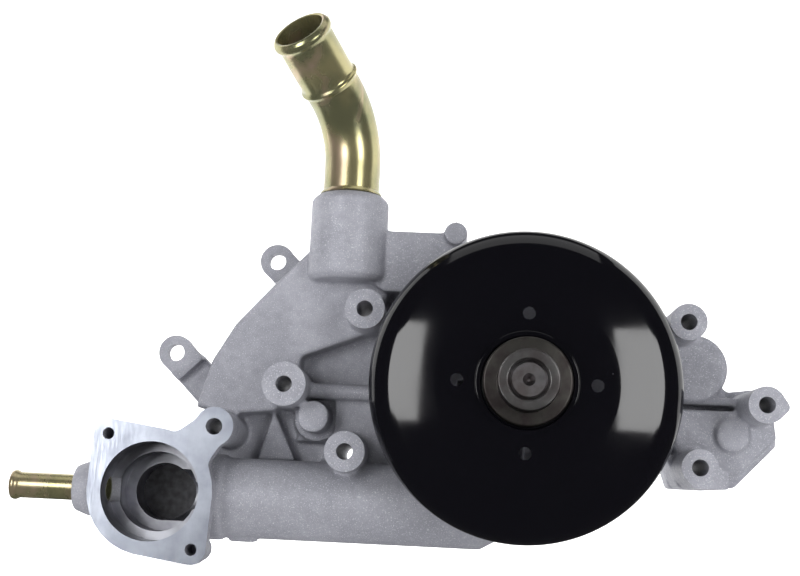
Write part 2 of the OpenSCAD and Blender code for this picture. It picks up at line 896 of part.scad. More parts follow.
module seal_spring() {
    points = [
        for (i = [0:spring_rings])
            for (j = [0:spring_sides - 1])
                spring_point(i, j)
    ];
    walls = [
        for (i = [0:spring_rings - 1])
            for (j = [0:spring_sides - 1])
                let(k = (j + 1) % spring_sides)
                [
                    i * spring_sides + j, i * spring_sides + k,
                    (i + 1) * spring_sides + k, (i + 1) * spring_sides + j
                ]
    ];
    first = [for (j = [spring_sides - 1:-1:0]) j];
    last = [for (j = [0:spring_sides - 1]) spring_rings * spring_sides + j];
    color(steel)
        polyhedron(points = points, faces = concat([first], walls, [last]), convexity = 6);
}

module seal_seat_ring() {
    color(ceramic)
        ring(shaft_r + 2, shaft_r + 6, seal_seat - 7.6, seal_seat - 4.1);
}

module seal_seat_cup() {
    color(rubber)
        turned([
            [shaft_r + fit_gap, seal_seat - 9.5], [shaft_r + 7, seal_seat - 9.5],
            [shaft_r + 7, seal_seat - 5], [shaft_r + 6.05, seal_seat - 5],
            [shaft_r + 6.05, seal_seat - 7.7], [shaft_r + 1.95, seal_seat - 7.7],
            [shaft_r + 1.95, seal_seat - 5], [shaft_r + fit_gap, seal_seat - 5]
        ]);
}

// ---- Impeller ----

module impeller() {
    disc_from = cover_seat + 2;
    disc_to = disc_from + 3;
    vane_to = chamber_front - 1.5;
    vane_r = impeller_d / 2;
    color(steel)
        difference() {
            union() {
                post([0, 0], impeller_d, disc_from, disc_to);
                post([0, 0], 2 * impeller_hub_r, disc_from, chamber_front + 2);
                slab(disc_to - 1, vane_to)
                    for (i = [0:5])
                        rotate(60 * i)
                            intersection() {
                                difference() {
                                    translate([vane_r * 0.62, -vane_r * 0.32])
                                        circle(r = vane_r * 0.6);
                                    translate([vane_r * 0.62, -vane_r * 0.32])
                                        circle(r = vane_r * 0.6 - 2.6);
                                }
                                difference() {
                                    circle(r = vane_r - 1);
                                    circle(r = impeller_hub_r + 7);
                                }
                                square(vane_r);
                            }
            }
            post([0, 0], shaft_d + 2 * fit_gap, 0, chamber_front + 3);
            for (i = [0:2])
                post(around(impeller_hub_r + 4, i, 3), 4, 0, disc_to + 1);
        }
}

// ---- Pulley and hub ----

// Points of the pressed shoulder, from the flat middle out to the rim: a low cone that turns
// down along an elliptic corner. The outer radius and the level of the flat middle are given.
function dome_points(outer_r, top) =
    let(
        corner_r = corner_w / (1 - sin(corner_start)),
        corner_h = (pulley_dome - cone_drop) / cos(corner_start)
    )
    concat(
        [[pulley_flat_d / 2, top], [pulley_flat_d / 2 + 3, top - 0.3]],
        [
            for (i = [0:corner_steps])
                let(angle = corner_start + (90 - corner_start) * i / corner_steps)
                [outer_r - corner_r * (1 - sin(angle)), top - pulley_dome + corner_h * cos(angle)]
        ]
    );

function reversed(list) = [for (i = [len(list) - 1:-1:0]) list[i]];

module pulley_profile() {
    dome = dome_points(pulley_r, web_front);
    ribs = [
        for (i = [0:rib_count - 1])
            each [
                [rim_floor, rim_front - flange_w - rib_pitch * i - 0.35],
                [rim_floor, rim_front - flange_w - rib_pitch * i - 0.75],
                [rim_floor + rib_depth, rim_front - flange_w - rib_pitch * (i + 0.4)],
                [rim_floor + rib_depth, rim_front - flange_w - rib_pitch * (i + 0.6)],
                [rim_floor, rim_front - flange_w - rib_pitch * (i + 1) + 0.75]
            ]
    ];
    inner = reversed(dome_points(rim_floor - pulley_wall, web_back));
    polygon(concat(
        [[hub_d / 2 - 3, web_front], [hub_d / 2 + 0.6, web_front], [hub_d / 2 + 1, web_front + 1.2],
        [hub_d / 2 + 3.6, web_front + 1.2], [hub_d / 2 + 4, web_front]],
        dome,
        [[pulley_r, rim_front - flange_w]],
        ribs,
        [[pulley_r - 0.5, rim_back + flange_w], [pulley_r - 0.5, rim_back],
        [rim_floor - pulley_wall, rim_back]],
        inner,
        [[hub_d / 2 - 3, web_back]]
    ));
}

module pulley() {
    color(black)
        difference() {
            rotate([90, 0, 0])
                rotate_extrude($fn = 96)
                    pulley_profile();
            for (i = [0:3])
                post(around(pulley_hole_pcd / 2, i, 4), pulley_hole_d, web_back - cut, web_front + cut);
        }
}

module pulley_hub() {
    color(dark_steel)
        turned([
            [shaft_r + fit_gap, web_back - 1.6], [hub_d / 2 - 3 - fit_gap, web_back - 1.6],
            [hub_d / 2 - 3 - fit_gap, web_front], [hub_d / 2, web_front],
            [hub_d / 2, shoulder_front - 1.5], [hub_d / 2 - 1.5, shoulder_front],
            [nose_d / 2, shoulder_front], [nose_d / 2, nose_front - 1],
            [nose_d / 2 - 1, nose_front], [shaft_r + 1.3, nose_front], [shaft_r + fit_gap, nose_front - 1.8]
        ]);
}

pump_housing();
rear_cover_plate();
rear_cover_gasket();
cover_bolt(1);  // cover_bolt_1
cover_bolt(2);  // cover_bolt_2
cover_bolt(3);  // cover_bolt_3
cover_bolt(4);  // cover_bolt_4
cover_bolt(5);  // cover_bolt_5
cover_bolt(6);  // cover_bolt_6
cover_bolt(7);  // cover_bolt_7
cover_bolt(8);  // cover_bolt_8
outlet_tube();
heater_nipple();
bearing_outer_ring();
lip_seal(bearing_front - seal_t - 0.4);  // bearing_front_seal
lip_seal(bearing_rear + 0.4);  // bearing_rear_seal
seal_case();
seal_bellows();
seal_spring();
seal_carbon_ring();
seal_seat_ring();
seal_seat_cup();
pulley();
pulley_hub();
bearing_shaft();
impeller();
ball_cage();
ball(1);  // ball_1
ball(2);  // ball_2
ball(3);  // ball_3
ball(4);  // ball_4
ball(5);  // ball_5
ball(6);  // ball_6
ball(7);  // ball_7
ball(8);  // ball_8
roller_cage();
roller(1);  // roller_1
roller(2);  // roller_2
roller(3);  // roller_3
roller(4);  // roller_4
roller(5);  // roller_5
roller(6);  // roller_6
roller(7);  // roller_7
roller(8);  // roller_8
roller(9);  // roller_9
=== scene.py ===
import json
import math

import bmesh
import bpy
from mathutils import Matrix, Vector


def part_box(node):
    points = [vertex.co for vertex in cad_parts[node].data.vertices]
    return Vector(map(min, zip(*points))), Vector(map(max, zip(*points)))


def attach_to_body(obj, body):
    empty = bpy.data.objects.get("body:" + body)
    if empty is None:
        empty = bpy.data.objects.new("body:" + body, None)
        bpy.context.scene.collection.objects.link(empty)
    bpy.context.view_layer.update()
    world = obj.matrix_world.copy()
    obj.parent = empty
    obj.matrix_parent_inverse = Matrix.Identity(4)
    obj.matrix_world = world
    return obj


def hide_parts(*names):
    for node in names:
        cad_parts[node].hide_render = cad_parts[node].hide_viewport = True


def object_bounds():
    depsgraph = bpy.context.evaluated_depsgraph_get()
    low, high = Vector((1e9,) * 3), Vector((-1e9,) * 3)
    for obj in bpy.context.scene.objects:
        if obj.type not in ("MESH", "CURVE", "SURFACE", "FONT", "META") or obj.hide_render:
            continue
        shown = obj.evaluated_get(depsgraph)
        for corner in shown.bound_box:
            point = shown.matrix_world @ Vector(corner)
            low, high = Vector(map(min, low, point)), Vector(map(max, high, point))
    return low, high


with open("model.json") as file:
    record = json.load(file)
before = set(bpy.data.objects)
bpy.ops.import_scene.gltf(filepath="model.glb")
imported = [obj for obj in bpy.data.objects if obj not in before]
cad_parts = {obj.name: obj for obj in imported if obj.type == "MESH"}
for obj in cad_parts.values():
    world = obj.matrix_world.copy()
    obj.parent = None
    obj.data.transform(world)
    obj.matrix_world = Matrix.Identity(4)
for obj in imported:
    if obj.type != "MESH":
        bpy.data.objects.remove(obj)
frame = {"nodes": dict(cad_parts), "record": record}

cadBounds = [list(corner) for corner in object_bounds()]
record = frame["record"]
mounts = {m["name"]: m for m in record["mounts"]}
mm = 0.001
print("frame loaded:", len(frame["nodes"]), "nodes")


# Small helpers for meshes

def newObject(name, bm, materials, smoothAngle=35):
    mesh = bpy.data.meshes.new(name)
    bm.to_mesh(mesh)
    bm.free()
    piece = bpy.data.objects.new(name, mesh)
    bpy.context.scene.collection.objects.link(piece)
    for material in materials:
        mesh.materials.append(material)
    smoothShading(mesh, smoothAngle)
    return piece


def smoothShading(mesh, smoothAngle):
    mesh.shade_smooth()
    mesh.set_sharp_from_angle(angle=math.radians(smoothAngle))


def applyModifiers(piece):
    graph = bpy.context.evaluated_depsgraph_get()
    finished = bpy.data.meshes.new_from_object(piece.evaluated_get(graph))
    old = piece.data
    piece.modifiers.clear()
    piece.data = finished
    bpy.data.meshes.remove(old)


def attach(piece, body, slot, *nodes):
    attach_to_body(piece, body)
    if nodes:
        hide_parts(*nodes)


def outline(points, rounding, longest=None):
    # a flat closed outline in X and Y, with the given corners rounded
    bm = bmesh.new()
    corners = [bm.verts.new((x * mm, y * mm, 0)) for x, y in points]
    bm.faces.new(corners)
    for radius, picked in rounding:
        bmesh.ops.bevel(bm, geom=[corners[i] for i in picked], offset=radius * mm, offset_type="OFFSET",
                        segments=5, profile=0.5, affect="VERTICES", material=-1)
    bmesh.ops.delete(bm, geom=list(bm.faces), context="FACES_ONLY")
    if longest:
        for edge in list(bm.edges):
            parts = int(edge.calc_length() / (longest * mm))
            if parts > 1:
                bmesh.ops.subdivide_edges(bm, edges=[edge], cuts=parts - 1)
    return bm


def turned(points, rounding=(), steps=160, longest=None):
    # spins an outline of radius and height about the shaft; a height h lies at y = -h
    bm = outline([(r, -h) for r, h in points], rounding, longest)
    bmesh.ops.spin(bm, geom=bm.verts[:] + bm.edges[:], cent=(0, 0, 0), axis=(0, 1, 0),
                   angle=2 * math.pi, steps=steps, use_merge=True, use_duplicate=False)
    bmesh.ops.remove_doubles(bm, verts=bm.verts, dist=0.002 * mm)
    bmesh.ops.recalc_face_normals(bm, faces=bm.faces)
    return bm


def addPost(bm, at, radius, start, end, segments=72):
    # a round post along the shaft's direction, between two heights over the block pads
    turn = Matrix.Rotation(math.radians(90), 4, "X")
    place = Matrix.Translation((at[0] * mm, -(start + end) / 2 * mm, at[1] * mm))
    bmesh.ops.create_cone(bm, cap_ends=True, segments=segments, radius1=radius * mm, radius2=radius * mm,
                          depth=(end - start) * mm, matrix=place @ turn)


def addBar(bm, start, end, radius, segments=64):
    # a round bar between two points
    a = Vector(start) * mm
    b = Vector(end) * mm
    turn = (b - a).to_track_quat("Z", "Y").to_matrix().to_4x4()
    bmesh.ops.create_cone(bm, cap_ends=True, segments=segments, radius1=radius * mm, radius2=radius * mm,
                          depth=(b - a).length, matrix=Matrix.Translation((a + b) / 2) @ turn)


def addBlock(bm, low, high):
    middle = (Vector(low) + Vector(high)) / 2 * mm
    size = (Vector(high) - Vector(low)) * mm
    bmesh.ops.create_cube(bm, size=1, matrix=Matrix.Translation(middle) @ Matrix.Diagonal((*size, 1)))


# Small helpers for materials

def newMaterial(name, color, metallic, roughness):
    material = bpy.data.materials.new(name)
    material.use_nodes = True
    shader = material.node_tree.nodes["Principled BSDF"]
    shader.inputs["Base Color"].default_value = (*color, 1)
    shader.inputs["Metallic"].default_value = metallic
    shader.inputs["Roughness"].default_value = roughness
    coordinates = material.node_tree.nodes.new("ShaderNodeTexCoord")
    coordinates.name = "coordinates"
    return material, shader


def addNode(material, kind, values=None, links=None, **settings):
    node = material.node_tree.nodes.new(kind)
    for key, value in settings.items():
        setattr(node, key, value)
    for key, value in (values or {}).items():
        node.inputs[key].default_value = value
    for key, source in (links or {}).items():
        material.node_tree.links.new(source, node.inputs[key])
    return node


def objectPoint(material, scale=(1, 1, 1), turn=(0, 0, 0)):
    source = material.node_tree.nodes["coordinates"].outputs["Object"]
    node = addNode(material, "ShaderNodeMapping", {"Scale": scale, "Rotation": turn}, {"Vector": source})
    return node.outputs["Vector"]


def noise(material, scale, detail=3, stretch=(1, 1, 1), turn=(0, 0, 0), rough=0.5):
    point = objectPoint(material, stretch, turn)
    node = addNode(material, "ShaderNodeTexNoise", {"Scale": scale, "Detail": detail, "Roughness": rough},
                   {"Vector": point})
    return node.outputs["Fac"]


def spread(material, source, low, high, out=(0, 1)):
    # stretches the part of a pattern between low and high
    node = addNode(material, "ShaderNodeMapRange",
                   {"From Min": low, "From Max": high, "To Min": out[0], "To Max": out[1]}, {"Value": source})
    return node.outputs["Result"]


def mixColor(material, factor, first, second):
    node = addNode(material, "ShaderNodeMix", data_type="RGBA")
    material.node_tree.links.new(factor, node.inputs["Factor"])
    for socket, value in ((node.inputs[6], first), (node.inputs[7], second)):
        if isinstance(value, tuple):
            socket.default_value = (*value, 1)
        else:
            material.node_tree.links.new(value, socket)
    return node.outputs[2]


def addUp(material, first, second, share):
    node = addNode(material, "ShaderNodeMath", {1: share}, {0: second, 2: first}, operation="MULTIPLY_ADD")
    return node.outputs["Value"]


def addBump(material, shader, height, strength, distance):
    node = addNode(material, "ShaderNodeBump", {"Strength": strength, "Distance": distance * mm},
                   {"Height": height})
    material.node_tree.links.new(node.outputs["Normal"], shader.inputs["Normal"])


def useFor(material, shader, socket, source):
    material.node_tree.links.new(source, shader.inputs[socket])


# Materials

castLook = {
    "light": (0.32, 0.322, 0.36),
    "dark": (0.245, 0.248, 0.28),
    "glint": (0.60, 0.61, 0.65),
    "metallic": 0.38,
    "roughness": (0.50, 0.66),
    "grainSize": 1500,
    "grainDepth": 0.10,
}


def makeCastAluminium():
    look = castLook
    material, shader = newMaterial("castAluminium", look["light"], look["metallic"], 0.58)
    stain = noise(material, 28, 6, rough=0.62)
    mottle = noise(material, 260, 3)
    grain = noise(material, look["grainSize"], 4, rough=0.7)
    pits = addNode(material, "ShaderNodeTexVoronoi", {"Scale": 620, "Randomness": 1},
                   {"Vector": objectPoint(material)}).outputs["Distance"]
    pit = spread(material, pits, 0.10, 0.24)
    blend = addUp(material, spread(material, stain, 0.35, 0.68), spread(material, mottle, 0.3, 0.7), 0.35)
    skin = mixColor(material, blend, look["light"], look["dark"])
    sparkle = spread(material, grain, 0.56, 0.70)
    useFor(material, shader, "Base Color", mixColor(material, sparkle, skin, look["glint"]))
    useFor(material, shader, "Roughness", spread(material, mottle, 0.3, 0.7, look["roughness"]))
    height = addUp(material, addUp(material, grain, mottle, 0.9), pit, 0.5)
    addBump(material, shader, height, 0.5, look["grainDepth"])
    return material


milledLook = {"light": (0.40, 0.425, 0.485), "dark": (0.30, 0.32, 0.375), "roughness": (0.28, 0.44)}


def makeMilledAluminium():
    look = milledLook
    material, shader = newMaterial("milledAluminium", look["light"], 1.0, 0.34)
    strokes = noise(material, 60, 4, stretch=(40, 1, 1), turn=(0, math.radians(28), 0), rough=0.6)
    marks = noise(material, 420, 3, stretch=(3, 1, 0.3), turn=(0, math.radians(-20), 0))
    patches = noise(material, 70, 4)
    useFor(material, shader, "Base Color",
           mixColor(material, spread(material, patches, 0.38, 0.66), look["light"], look["dark"]))
    useFor(material, shader, "Roughness", spread(material, marks, 0.3, 0.7, look["roughness"]))
    addBump(material, shader, addUp(material, strokes, marks, 0.5), 0.35, 0.04)
    return material


boredLook = {"light": (0.50, 0.51, 0.55), "dark": (0.26, 0.26, 0.29), "roughness": (0.36, 0.54)}


def makeBoredAluminium():
    look = boredLook
    material, shader = newMaterial("boredAluminium", look["light"], 1.0, 0.36)
    rings = noise(material, 30, 3, stretch=(1, 50, 1), rough=0.7)
    patches = noise(material, 60, 3)
    useFor(material, shader, "Base Color",
           mixColor(material, spread(material, patches, 0.35, 0.7), look["light"], look["dark"]))
    useFor(material, shader, "Roughness", spread(material, rings, 0.3, 0.7, look["roughness"]))
    addBump(material, shader, rings, 0.5, 0.05)
    return material


zincLook = {"gold": (0.42, 0.38, 0.20), "olive": (0.25, 0.25, 0.14), "rose": (0.50, 0.38, 0.27),
            "metallic": 0.86, "roughness": (0.19, 0.32)}


def makeYellowZinc():
    look = zincLook
    material, shader = newMaterial("yellowZinc", look["gold"], look["metallic"], 0.25)
    clouds = noise(material, 34, 3)
    streaks = noise(material, 50, 4, stretch=(1.6, 1.6, 0.25))
    base = mixColor(material, spread(material, clouds, 0.38, 0.62), look["gold"], look["olive"])
    tinted = mixColor(material, spread(material, streaks, 0.52, 0.72), base, look["rose"])
    useFor(material, shader, "Base Color", tinted)
    useFor(material, shader, "Roughness", spread(material, streaks, 0.3, 0.7, look["roughness"]))
    addBump(material, shader, addUp(material, clouds, noise(material, 900, 2), 0.08), 0.25, 0.15)
    return material


pulleyLook = {"paint": (0.0018, 0.0017, 0.0028), "roughness": (0.06, 0.11), "dust": (0.16, 0.16, 0.18)}


def makeGlossBlack():
    look = pulleyLook
    material, shader = newMaterial("glossBlackPaint", look["paint"], 0.0, look["roughness"][0])
    shader.inputs["IOR"].default_value = 1.42
    haze = noise(material, 45, 3)
    peel = noise(material, 480, 2)
    specks = addNode(material, "ShaderNodeTexVoronoi", {"Scale": 95, "Randomness": 1},
                     {"Vector": objectPoint(material)}).outputs["Distance"]
    chosen = noise(material, 55, 1)
    speck = addNode(material, "ShaderNodeMath", {}, {0: spread(material, specks, 0.060, 0.035),
                    1: spread(material, chosen, 0.66, 0.69)}, operation="MULTIPLY").outputs["Value"]
    useFor(material, shader, "Base Color", mixColor(material, speck, look["paint"], look["dust"]))
    useFor(material, shader, "Roughness", spread(material, haze, 0.3, 0.7, look["roughness"]))
    addBump(material, shader, peel, 0.08, 0.03)
    return material


# light and dark colour, range of roughness, metallic
steelLooks = {
    "hubSteel": ((0.080, 0.076, 0.070), (0.045, 0.038, 0.038), (0.34, 0.50), 1.0),
    "noseSteel": ((0.17, 0.166, 0.165), (0.09, 0.082, 0.082), (0.32, 0.46), 1.0),
    "groundSteel": ((0.30, 0.29, 0.30), (0.14, 0.125, 0.125), (0.28, 0.44), 1.0),
    "pressedSteel": ((0.36, 0.37, 0.38), (0.32, 0.33, 0.34), (0.30, 0.44), 1.0),
    "boltSteel": ((0.48, 0.49, 0.51), (0.36, 0.36, 0.38), (0.28, 0.42), 1.0),
}


def makeSteel(name):
    light, dark, roughness, metallic = steelLooks[name]
    material, shader = newMaterial(name, light, metallic, roughness[0])
    patches = noise(material, 90, 4)
    # rings about the shaft, from the distance to it
    flat = addNode(material, "ShaderNodeVectorMath", {1: (1, 0, 1)},
                   {0: material.node_tree.nodes["coordinates"].outputs["Object"]}, operation="MULTIPLY")
    distance = addNode(material, "ShaderNodeVectorMath", {}, {0: flat.outputs["Vector"]}, operation="LENGTH")
    rings = addNode(material, "ShaderNodeTexNoise", {"Scale": 1800, "Detail": 3},
                    {"W": distance.outputs["Value"]}, noise_dimensions="1D").outputs["Fac"]
    useFor(material, shader, "Base Color",
           mixColor(material, spread(material, patches, 0.4, 0.64), light, dark))
    useFor(material, shader, "Roughness", spread(material, patches, 0.3, 0.7, roughness))
    addBump(material, shader, addUp(material, rings, noise(material, 1500, 3), 0.4), 0.4, 0.03)
    return material


# first and second colour, roughness
softLooks = {
    # the entry below is painted shade: near-black colours for the deep floor of the thermostat pocket
    "paintedPocketShade": ((0.050, 0.049, 0.056), (0.022, 0.021, 0.025), 0.60),
    "sealRubber": ((0.022, 0.022, 0.024), (0.035, 0.034, 0.036), 0.62),
    "carbonRing": ((0.045, 0.045, 0.05), (0.07, 0.07, 0.075), 0.42),
    "whiteCeramic": ((0.74, 0.72, 0.66), (0.62, 0.60, 0.55), 0.22),
    "gasketSheet": ((0.05, 0.05, 0.055), (0.09, 0.085, 0.08), 0.75),
}


def makeSoft(name):
    first, second, roughness = softLooks[name]
    material, shader = newMaterial(name, first, 0.0, roughness)
    patches = noise(material, 300, 4)
    useFor(material, shader, "Base Color",
           mixColor(material, spread(material, patches, 0.35, 0.65), first, second))
    addBump(material, shader, noise(material, 2200, 3), 0.3, 0.04)
    return material


castAluminium = makeCastAluminium()
milledAluminium = makeMilledAluminium()
boredAluminium = makeBoredAluminium()
yellowZinc = makeYellowZinc()
glossBlack = makeGlossBlack()
steels = {name: makeSteel(name) for name in steelLooks}
softs = {name: makeSoft(name) for name in softLooks}
# painted shade for the deep floor of the thermostat pocket
paintedPocketShade = softs["paintedPocketShade"]
print("materials made:", len(bpy.data.materials))


# Pump housing

housing = {
    "voxel": 1.05,            # fineness of the cast skin, mm
    "smoothing": 6,           # rounds of smoothing, which give the cast fillets
    "stock": 3,               # metal left on a face before it is milled
    "faceLimit": 150000,      # triangles kept for the casting
    "bossFace": 75,           # heights of the milled faces over the block pads
    "flangeFace": 80,
    "earFace": 30,
    "clear": 90,              # a height past every milled face
    "holeRadius": 4.5,        # block bolt holes and the bracket eye
    "earHoleRadius": 5,
    "flangeHoleRadius": 3.2,
    "flangeHoleFloor": 60,
    "flangeHoleCircle": 38.5,
    "flangeHoleAngles": (129.5, 309.5),
    "ports": ((100, 18), (119, -21)),
    "portRadius": 9,
    "portDepth": 29,
    "tubeSeat": (16.05, 84, 115),          # radius, bottom and top
    "nippleSeat": (7.05, -250, -215),      # radius, and both ends along X
    "suction": (15, -198, -20),            # radius, and both ends along X
    "suctionAt": (-46, -65.5),             # its axis in Y and Z
    "pocketFloor": 24,
    "pocketOutlet": 16,       # radius of the lowest part of the pocket
    # radius and height along the wall of the pocket, and of the bores along the shaft
    "pocketWall": ((0, 24), (16, 24), (16, 42), (21.75, 42), (21.75, 59), (26.5, 59), (26.5, 90), (0, 90)),
    "shaftWall": ((0, -5), (59.5, -5), (59.5, 12), (44, 12), (44, 28), (22, 28), (22, 44), (18, 44),
                  (18, 57), (12.5, 57), (12.5, 64), (19.1, 64), (19.1, 120), (0, 120)),
    # radius, bottom and top of the plugs that close the bores while the skin is made
    "shaftPlugs": ((44.6, 11, 29), (22.6, 27, 45), (19.4, 43, 104)),
    "pocketPlugs": ((26.8, 58, 83), (22, 41, 60), (16.2, 23, 43)),
    "eyePlug": (4.8, 13.5, 83),
    "flangePlug": (3.5, 58, 83),
    "earPlug": (5.2, 22.2, 33),
    "tubePlug": (16.4, 80, 107.6),
    "boltPlugRadius": 4.8,
    "portPlug": (9.4, 28),                 # radius and top
    "nipplePlug": (7.4, -242.2, -222),     # radius, and both ends along X
    "weepPlug": (2.4, -61, -30, -46),      # radius, Y, and both ends along Z
    "bossCutter": 19,                      # radius of the cutter that faces a boss
    "earCutter": (12.5, 45),               # radius and top
}
boltSpots = []
for mountName in ("block_bolts_top", "block_bolts_side", "block_bolts_low"):
    mount = mounts[mountName]
    for side in (-0.5, 0.5):
        boltSpots.append((side * mount["dims"]["spacing_x_mm"], mount["pos_m"][2] / mm))
pocket = (mounts["thermostat_pocket"]["pos_m"][0] / mm, mounts["thermostat_pocket"]["pos_m"][2] / mm)
eye = (mounts["bracket_eye"]["pos_m"][0] / mm, mounts["bracket_eye"]["pos_m"][2] / mm)
ears = [(mounts[name]["pos_m"][0] / mm, mounts[name]["pos_m"][2] / mm) for name in ("upper_ear", "lower_ear")]
ports = [(side * x, z) for side in (-1, 1) for x, z in housing["ports"]]
flangeHoles = []
for degrees in housing["flangeHoleAngles"]:
    angle = math.radians(degrees)
    flangeHoles.append((pocket[0] + housing["flangeHoleCircle"] * math.cos(angle),
                        pocket[1] + housing["flangeHoleCircle"] * math.sin(angle)))
tubeAt = (-101, -50)          # the upright part of the outlet tube, in X and Y
nippleLow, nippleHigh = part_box("heater_nipple")
nippleAt = ((nippleLow.y + nippleHigh.y) / 2 / mm, (nippleLow.z + nippleHigh.z) / 2 / mm)


def castingBlank():
    bm = bmesh.new()
    bm.from_mesh(frame["nodes"]["pump_housing"].data)
    bmesh.ops.remove_doubles(bm, verts=bm.verts, dist=0.002 * mm)
    stock = housing["stock"]

    def near(vertex, spots, reach):
        return any(math.hypot(vertex.co.x - x * mm, vertex.co.z - z * mm) < reach * mm for x, z in spots)

    # leave stock on the faces that are milled later
    for vertex in bm.verts:
        height = -vertex.co.y / mm
        if abs(height) < 0.02:
            vertex.co.y += stock * mm
        elif abs(height - housing["bossFace"]) < 0.02 and near(vertex, boltSpots, 20):
            vertex.co.y -= stock * mm
        elif abs(height - housing["flangeFace"]) < 0.02:
            vertex.co.y -= stock * mm
        elif abs(height - housing["earFace"]) < 0.02 and near(vertex, ears, 26):
            vertex.co.y -= stock * mm
    # plug the bores; all but the weep hole are drilled again after the skin is made
    for spot in boltSpots:
        addPost(bm, spot, housing["boltPlugRadius"], -stock, housing["bossFace"] + stock)
    for spot in ports:
        addPost(bm, spot, housing["portPlug"][0], -stock, housing["portPlug"][1])
    for radius, bottom, top in housing["shaftPlugs"]:
        addPost(bm, (0, 0), radius, bottom, top)
    for radius, bottom, top in housing["pocketPlugs"]:
        addPost(bm, pocket, radius, bottom, top)
    addPost(bm, eye, *housing["eyePlug"])
    for spot in flangeHoles:
        addPost(bm, spot, *housing["flangePlug"])
    for spot in ears:
        addPost(bm, spot, *housing["earPlug"])
    radius, bottom, top = housing["tubePlug"]
    addBar(bm, (*tubeAt, bottom), (*tubeAt, top), radius)
    radius, left, right = housing["nipplePlug"]
    addBar(bm, (left, *nippleAt), (right, *nippleAt), radius)
    radius, y, top, bottom = housing["weepPlug"]
    addBar(bm, (0, y, top), (0, y, bottom), radius)
    return bm


def carve(piece, cutterMesh, material):
    cutter = newObject("cutter", cutterMesh, [material])
    boolean = piece.modifiers.new("carve", "BOOLEAN")
    boolean.operation = "DIFFERENCE"
    boolean.solver = "MANIFOLD"
    boolean.object = cutter
    applyModifiers(piece)
    bpy.data.objects.remove(cutter)


def millHousing(piece):
    faces = bmesh.new()
    for spot in boltSpots:
        addPost(faces, spot, housing["bossCutter"], housing["bossFace"], housing["clear"])
    carve(piece, faces, milledAluminium)
    # the flange's face
    faces = bmesh.new()
    addBlock(faces, (-260, -100, -130), (-150, -housing["flangeFace"], 0))
    carve(piece, faces, milledAluminium)
    faces = bmesh.new()
    for spot in ears:
        addPost(faces, spot, housing["earCutter"][0], housing["earFace"], housing["earCutter"][1])
    carve(piece, faces, castAluminium)
    # the block pads
    faces = bmesh.new()
    addBlock(faces, (-300, 0, -150), (200, 20, 150))
    carve(piece, faces, milledAluminium)


def drillHousing(piece):
    stock, clear = housing["stock"], housing["clear"]
    bores = bmesh.new()
    for spot in boltSpots:
        addPost(bores, spot, housing["holeRadius"], -stock, clear)
    addPost(bores, eye, housing["holeRadius"], 0, clear)
    for spot in flangeHoles:
        addPost(bores, spot, housing["flangeHoleRadius"], housing["flangeHoleFloor"], clear)
    for spot in ears:
        addPost(bores, spot, housing["earHoleRadius"], 0, 40)
    for spot in ports:
        addPost(bores, spot, housing["portRadius"], -stock, housing["portDepth"])
    radius, bottom, top = housing["tubeSeat"]
    addBar(bores, (*tubeAt, bottom), (*tubeAt, top), radius)
    radius, left, right = housing["nippleSeat"]
    addBar(bores, (left, *nippleAt), (right, *nippleAt), radius)
    carve(piece, bores, boredAluminium)
    carve(piece, turnedAt(pocket, housing["pocketWall"]), boredAluminium)
    shadeFloor(piece)
    suction = bmesh.new()
    radius, left, right = housing["suction"]
    addBar(suction, (left, *housing["suctionAt"]), (right, *housing["suctionAt"]), radius)
    carve(piece, suction, boredAluminium)
    carve(piece, turned(housing["shaftWall"], steps=128), boredAluminium)


# painted shade: the floor of the pocket's outlet gets a near-black colour that stands in for the shade deep
# in the recess
def shadeFloor(piece):
    piece.data.materials.append(paintedPocketShade)
    last = len(piece.data.materials) - 1
    for face in piece.data.polygons:
        away = math.hypot(face.center.x / mm - pocket[0], face.center.z / mm - pocket[1])
        low = abs(face.center.y / mm + housing["pocketFloor"]) < 0.3
        if low and away < housing["pocketOutlet"] - 0.1:
            face.material_index = last


def turnedAt(spot, points, steps=128):
    bm = turned(points, steps=steps)
    bmesh.ops.translate(bm, verts=bm.verts, vec=(spot[0] * mm, 0, spot[1] * mm))
    return bm


casting = newObject("castHousing", castingBlank(), [castAluminium])
remesh = casting.modifiers.new("skin", "REMESH")
remesh.mode = "VOXEL"
remesh.voxel_size = housing["voxel"] * mm
smooth = casting.modifiers.new("fillets", "SMOOTH")
smooth.factor = 0.5
smooth.iterations = housing["smoothing"]
applyModifiers(casting)
print("cast skin:", len(casting.data.polygons), "faces")
thin = casting.modifiers.new("thin", "DECIMATE")
thin.ratio = min(1.0, housing["faceLimit"] / (2 * len(casting.data.polygons)))
applyModifiers(casting)
print("casting thinned:", len(casting.data.polygons), "faces")
millHousing(casting)
drillHousing(casting)
smoothShading(casting.data, 38)
attach(casting, "casting", "cast_aluminium", "pump_housing")
print("casting milled and drilled:", len(casting.data.polygons), "faces,",
      [m.name for m in casting.data.materials])


# Pulley and hub

pulleyShape = {
    "radius": 82.5, "flat": 45, "dome": 18, "web": 112, "wall": 3, "bore": 20,
    "ringInner": 23.6, "ringOuter": 27, "ringRise": 1.2,      # the raised ring round the hub
    "ribPitch": 3.56, "ribs": 6, "ribDepth": 2.4, "ribInset": 1,
    "edge": 1.4, "holeRadius": 3.35, "holeCircle": 36, "steps": 192,
    "corner": 13.5,          # width of the rounded corner between the cone and the rim
    "cornerStart": 17.6,     # angle on the corner's ellipse where it meets the cone, degrees
    "coneDrop": 4.59,        # how far the cone falls before the corner
    "cornerSteps": 30,
}


